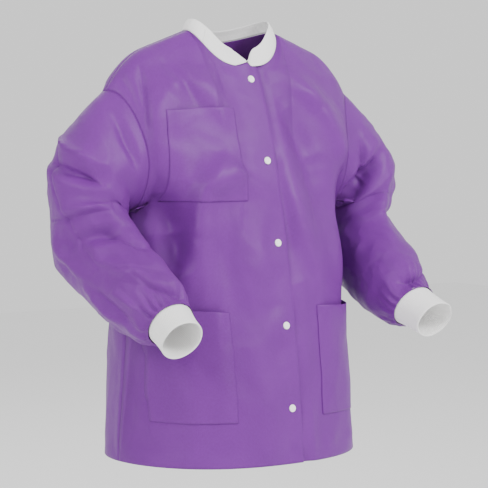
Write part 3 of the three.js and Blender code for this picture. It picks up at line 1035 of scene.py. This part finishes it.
def collar_points(start, end, columns):
    """A collar band between two angles round the neck: up its outside, over the top and down inside."""
    climb = [(k / 9, 0.0) for k in range(10)]
    climb += [(1 + 0.045 * math.sin(t), -COLLAR_THICK * (1 - math.cos(t)) / 2)
              for t in np.linspace(0.4, 2.8, 6)]
    climb += [(1 - k / 9, -COLLAR_THICK) for k in range(10)]
    rows = []
    for rise, inward in climb:
        row = []
        for i in range(columns + 1):
            angle = mix(start, end, i / columns)
            height = collar_height(angle)
            base = neck_point(angle)
            toward = Vector((-base.x, SEAM_Y - base.y, 0)).normalized()
            belly = 0.0012 * math.sin(math.pi * clamp(rise, 0, 1))
            step = COLLAR_LEAN * height / COLLAR_HEIGHT * rise - inward - belly
            row.append(base + toward * step + Vector((0, 0, 0.0006 + height * rise)))
        rows.append(row)
    return np.array(rows)[::-1]


class JACKET_OT_collar(bpy.types.Operator):
    """Builds the rib-knit collar: a back part and two ends at the fronts."""

    bl_idname = "jacket.collar"
    bl_label = "Collar"
    bl_options = {"UNDO"}

    def execute(self, context):
        parting = math.asin(0.0765 / NECK_HALF_WIDTH)
        end = math.asin(0.0016 / NECK_HALF_WIDTH)
        whole = collar_points(parting, 2 * math.pi - parting, 200)
        self.knit("collar_back_knit", whole, "collar_back", None)
        self.knit("left_collar_knit", collar_points(end, parting, 60), "left_collar_end", 1)
        self.knit("right_collar_knit", collar_points(-parting, -end, 60), "right_collar_end", -1)
        return {"FINISHED"}

    def knit(self, name, points, node, side):
        normals = grid_normals(points, False)
        points = points[::-1] if normals[2, points.shape[1] // 2, 2] < -0.9 else points
        piece = thicken(grid_object(name, points), KNIT)
        finish(piece, "knit")
        if side is None:
            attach(piece, "coat_body")
        else:
            bend_front(piece, side)
        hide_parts(node)
        width = float(np.linalg.norm(np.diff(points[len(points) // 2], axis=0), axis=1).sum())
        cut_area(points, width * 1.1, 0.062)


class JACKET_OT_label(bpy.types.Operator):
    """Builds the plain tape label inside the back of the neck."""

    bl_idname = "jacket.label"
    bl_label = "Label"
    bl_options = {"UNDO"}

    def execute(self, context):
        low, high = LABEL_LOW, LABEL_HIGH
        y = (low[1] + high[1]) / 2
        rows, columns = 26, 12
        points = np.zeros((rows + 1, columns + 1, 3))
        for j in range(rows + 1):
            v = j / rows
            for i in range(columns + 1):
                u = i / columns
                curl = 0.0010 * math.sin(math.pi * u) * math.sin(2 * math.pi * v + 0.6) - 0.0012 * v * v
                points[j, i] = mix(low[0], high[0], u), y + curl, mix(high[2], low[2], v)
        piece = thicken(grid_object("neck_label_tape", points), TAPE)
        finish(piece, "tape")
        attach(piece, "coat_body")
        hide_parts("neck_label")
        cut_area(points, 0.020, 0.031)
        return {"FINISHED"}


class JACKET_OT_snaps(bpy.types.Operator):
    """Gives the snaps their plastic and models their round caps."""

    bl_idname = "jacket.snaps"
    bl_label = "Snaps"
    bl_options = {"UNDO"}

    def execute(self, context):
        look = context.scene.jacket_look
        for i, place in enumerate(SNAP_PLACES, 1):
            self.cap(f"snap_cap_{i}", place)
            for part in ("snap_socket", "snap_stud", "snap_back"):
                node = bpy.data.objects[f"{part}_{i}"]
                if "plastic" not in FINISHES:
                    FINISHES["plastic"] = moulded("white_snap_plastic", look.plastic)
                for slot in node.material_slots:
                    slot.material = FINISHES["plastic"]
        return {"FINISHED"}

    def cap(self, node, place):
        """A cap with a rounded rim, a shallow dish and a small raised centre."""
        x, z = place.x, place.z
        step = 0.001
        slope = (surface_y(-1, x, z + step) - surface_y(-1, x, z - step)) / (2 * step)
        outward = Vector((0, -1, slope)).normalized()
        foot = on_surface(-1, x, z) + outward * 0.0004
        bpy.ops.object.select_all(action="DESELECT")
        bpy.ops.mesh.primitive_circle_add(vertices=56, radius=0.0062, fill_type="NGON")
        piece = bpy.context.object
        piece.name = node + "_face"
        bpy.ops.object.mode_set(mode="EDIT")
        bpy.ops.mesh.select_all(action="SELECT")
        bpy.ops.mesh.extrude_region_move(TRANSFORM_OT_translate={"value": (0, 0, 0.0012)})
        for inset, rise in ((0.00025, 0.00045), (0.00045, 0.00035), (0.0007, 0.00012), (0.0010, -0.00022),
                            (0.0008, -0.00018), (0.0007, 0.0001), (0.0002, 0.00025), (0.0006, 0.0001)):
            bpy.ops.mesh.inset(thickness=inset, depth=rise)
        bpy.ops.mesh.select_all(action="SELECT")
        bpy.ops.mesh.normals_make_consistent(inside=False)
        bpy.ops.object.mode_set(mode="OBJECT")
        turn = Vector((0, 0, 1)).rotation_difference(outward).to_matrix().to_4x4()
        piece.data.transform(turn)
        piece.data.transform(turn.Translation(foot))
        bpy.ops.object.shade_smooth_by_angle(angle=0.7)
        piece.data.materials.clear()
        finish(piece, "plastic")
        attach(piece, "right_front")
        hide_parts(node)
        piece.select_set(False)


VIEW_TURN, VIEW_CLIMB = -35.67, 3.86       # degrees round from the front, and up
VIEW_LENS, VIEW_DISTANCE = 139.8, 3.2259   # millimetres and metres
VIEW_SHIFT = 0.0289
VIEW_CENTRE_Z, LIGHT_AIM_Z = -0.36, -0.35
LIGHTS = (                                 # name, place, size in metres and power in watts
    ("key", (0.9, -2.7, 1.5), 0.9, 105),
    ("fill", (-2.6, -1.2, 0.9), 1.1, 50),
    ("rim", (0.6, 2.6, 1.6), 2.0, 20),
)
FLOOR_DROP = 0.45                          # the floor's depth under the hem


class JACKET_OT_stage(bpy.types.Operator):
    """Places the floor, the lights and the camera."""

    bl_idname = "jacket.stage"
    bl_label = "Stage"
    bl_options = {"UNDO"}

    def execute(self, context):
        scene = bpy.context.scene
        bpy.ops.object.select_all(action="DESELECT")
        bpy.ops.mesh.primitive_plane_add(size=12, location=(0, 0, 0))
        floor = bpy.context.object
        floor.name = "floor"
        floor.data.transform(Vector((0, 0, 1)).to_track_quat("Z", "Y").to_matrix().to_4x4())
        for vertex in floor.data.vertices:
            vertex.co.z = HEM_Z - FLOOR_DROP
        floor.data.materials.append(plain_floor("pale_floor", (0.93, 0.93, 0.93, 1)))
        for name, place, size, energy in LIGHTS:
            light = bpy.data.lights.new(name, "AREA")
            light.energy, light.size = energy, size
            lamp = bpy.data.objects.new(name, light)
            lamp.location = place
            toward = Vector((0, 0, LIGHT_AIM_Z)) - Vector(place)
            lamp.rotation_euler = toward.to_track_quat("-Z", "Y").to_euler()
            scene.collection.objects.link(lamp)
        world = bpy.data.worlds.new("studio")
        world.use_nodes = True
        world.node_tree.nodes["Background"].inputs["Color"].default_value = (1.0, 1.0, 1.0, 1)
        world.node_tree.nodes["Background"].inputs["Strength"].default_value = 1.05
        scene.world = world
        turn, climb = math.radians(VIEW_TURN), math.radians(VIEW_CLIMB)
        lens = bpy.data.cameras.new("view")
        lens.lens = VIEW_LENS
        lens.shift_x = VIEW_SHIFT
        eye = bpy.data.objects.new("view", lens)
        away = Vector((math.sin(turn) * math.cos(climb), -math.cos(turn) * math.cos(climb), math.sin(climb)))
        eye.location = Vector((0, 0, VIEW_CENTRE_Z)) + away * VIEW_DISTANCE
        eye.rotation_euler = (-away).to_track_quat("-Z", "Y").to_euler()
        scene.collection.objects.link(eye)
        scene.camera = eye
        return {"FINISHED"}


class JACKET_PT_panel(bpy.types.Panel):
    """Lists the jacket's colours and its building steps."""

    bl_idname = "JACKET_PT_panel"
    bl_label = "Lab Jacket"
    bl_space_type = "VIEW_3D"
    bl_region_type = "UI"
    bl_category = "Lab Jacket"

    def draw(self, context):
        for name in Look.__annotations__:
            self.layout.prop(context.scene.jacket_look, name)
        for operator in OPERATORS:
            self.layout.operator(operator.bl_idname)


OPERATORS = (JACKET_OT_back, JACKET_OT_fronts, JACKET_OT_pockets, JACKET_OT_sleeves, JACKET_OT_cuffs,
             JACKET_OT_collar, JACKET_OT_label, JACKET_OT_snaps, JACKET_OT_stage)
CLASSES = (Look,) + OPERATORS + (JACKET_PT_panel,)


def register():
    for cls in CLASSES:
        bpy.utils.register_class(cls)
    bpy.types.Scene.jacket_look = bpy.props.PointerProperty(type=Look)


def unregister():
    del bpy.types.Scene.jacket_look
    for cls in reversed(CLASSES):
        bpy.utils.unregister_class(cls)


def main():
    register()
    bpy.ops.jacket.back()
    bpy.ops.jacket.fronts()
    bpy.ops.jacket.pockets()
    bpy.ops.jacket.sleeves()
    bpy.ops.jacket.cuffs()
    bpy.ops.jacket.collar()
    bpy.ops.jacket.label()
    bpy.ops.jacket.snaps()
    bpy.ops.jacket.stage()


if __name__ == "__main__":
    main()
